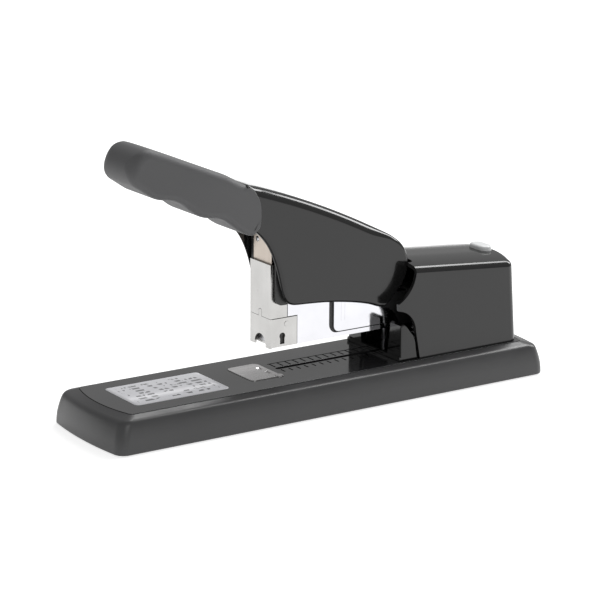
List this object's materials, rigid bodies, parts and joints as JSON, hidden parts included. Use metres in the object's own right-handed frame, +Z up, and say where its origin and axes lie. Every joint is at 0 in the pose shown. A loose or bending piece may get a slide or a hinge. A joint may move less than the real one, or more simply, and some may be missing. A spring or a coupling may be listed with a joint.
{
  "type": "heavy-duty stapler",
  "caption": "Long-arm desktop stapler: bowed base with steel plate, anvil and sliding paper guide, bright magazine, spring-lifted arm and handle with a finger-notched grip.",
  "frame": {"origin": "middle of the rubber pad's underside, where the stapler stands on the table", "axes": "+X from the nose to the rear cover, +Y across the base to the far side, +Z up; the nose and the grip point to -X"},
  "size_m": [0.28, 0.0716, 0.1543],
  "materials": {
    "shell_plastic": "satin",
    "plated_steel": "zinc plated",
    "rubber_foot": "matte",
    "fastener_steel": "machined",
    "plate_black": "gloss",
    "nickel_plate": "nickel satin",
    "printed_label": "silver foil",
    "scale_ink": "ink",
    "black_steel": "satin",
    "brass_bush": "machined",
    "spring_steel": "oiled",
    "gloss_plastic": "gloss",
    "white_plastic": "smooth",
    "guide_plastic": "gloss",
    "bright_chrome": "polished",
    "staple_wire": "galvanised",
    "pusher_plastic": "smooth",
    "soft_grip": "matte",
    "driver_steel": "warm satin"
  },
  "bodies": {
    "base": {"base_shell": "shell_plastic", "bottom_pan": "plated_steel", "rubber_pad": "rubber_foot", "base_screws": "fastener_steel", "top_plate": "plate_black", "anvil": "nickel_plate", "anvil_rivet": "nickel_plate", "rating_label": "printed_label", "scale_marks": "scale_ink", "pivot_bracket": "black_steel", "bracket_rivets": "fastener_steel", "arm_pin": "fastener_steel", "arm_pin_bushes": "brass_bush", "arm_pin_clips": "spring_steel", "lift_spring": "spring_steel", "rear_cover": "gloss_plastic", "cover_screws": "fastener_steel", "button_bracket": "plated_steel", "button_spring": "spring_steel"},
    "button": {"release_button": "white_plastic"},
    "guide": {"paper_guide": "guide_plastic", "guide_slider": "guide_plastic", "guide_screw": "fastener_steel"},
    "arm": {"arm_frame": "black_steel", "arm_sleeve": "bright_chrome", "nose_plate": "nickel_plate", "latch_pin": "fastener_steel", "latch_spring": "spring_steel", "return_spring": "spring_steel"},
    "latch": {"rail_latch": "plated_steel"},
    "rail": {"staple_rail": "plated_steel", "nose_cap": "nickel_plate", "cap_rivets": "fastener_steel", "pusher_rod": "fastener_steel", "pusher_spring": "spring_steel", "staples": "staple_wire"},
    "pusher": {"pusher": "pusher_plastic"},
    "handle": {"handle_shell": "gloss_plastic", "handle_grip": "soft_grip", "grip_core": "black_steel", "core_rivets": "fastener_steel", "handle_lever": "black_steel", "handle_pin": "fastener_steel", "handle_pin_clips": "spring_steel", "handle_bushes": "brass_bush", "link_pin": "fastener_steel"},
    "driver": {"driver_blade": "driver_steel", "driver_head": "driver_steel", "driver_rivets": "fastener_steel"}
  },
  "joints": [
    {"name": "arm_hinge", "type": "hinge", "parent": "base", "child": "arm", "pos_m": [0.104, 0, 0.03], "axis": [0, -1, 0], "range_deg": [0, 5.96], "stiffness_Nm_per_rad": 20, "springref_deg": -5.73, "deforming": ["lift_spring"]},
    {"name": "handle_hinge", "type": "hinge", "parent": "arm", "child": "handle", "pos_m": [0.034, 0, 0.068], "axis": [0, -1, 0], "range_deg": [0, 20], "stiffness_Nm_per_rad": 3, "springref_deg": -14.32, "deforming": ["return_spring"]},
    {"name": "driver_slide", "type": "slide", "parent": "arm", "child": "driver", "axis": [0, 0, -1], "range_m": [0, 0.0192]},
    {"name": "rail_slide", "type": "slide", "parent": "arm", "child": "rail", "axis": [1, 0, 0], "range_m": [-0.095, 0]},
    {"name": "pusher_slide", "type": "slide", "parent": "rail", "child": "pusher", "axis": [1, 0, 0], "range_m": [0, 0.05], "stiffness_N_per_m": 60, "springref_m": -0.1, "deforming": ["pusher_spring"]},
    {"name": "button_press", "type": "slide", "parent": "base", "child": "button", "axis": [0, 0, -1], "range_m": [0, 0.003], "stiffness_N_per_m": 400, "springref_m": -0.002, "deforming": ["button_spring"]},
    {"name": "latch_hinge", "type": "hinge", "parent": "arm", "child": "latch", "pos_m": [0.108, 0, 0.05], "axis": [0, 1, 0], "range_deg": [0, 18], "deforming": ["latch_spring"]},
    {"name": "guide_slide", "type": "slide", "parent": "base", "child": "guide", "axis": [1, 0, 0], "range_m": [-0.06, 0]}
  ],
  "couplings": [
    {"joint": "driver_slide", "follows": "handle_hinge", "m_per_rad": 0.054431},
    {"joint": "latch_hinge", "follows": "button_press", "rad_per_m": 100}
  ]
}
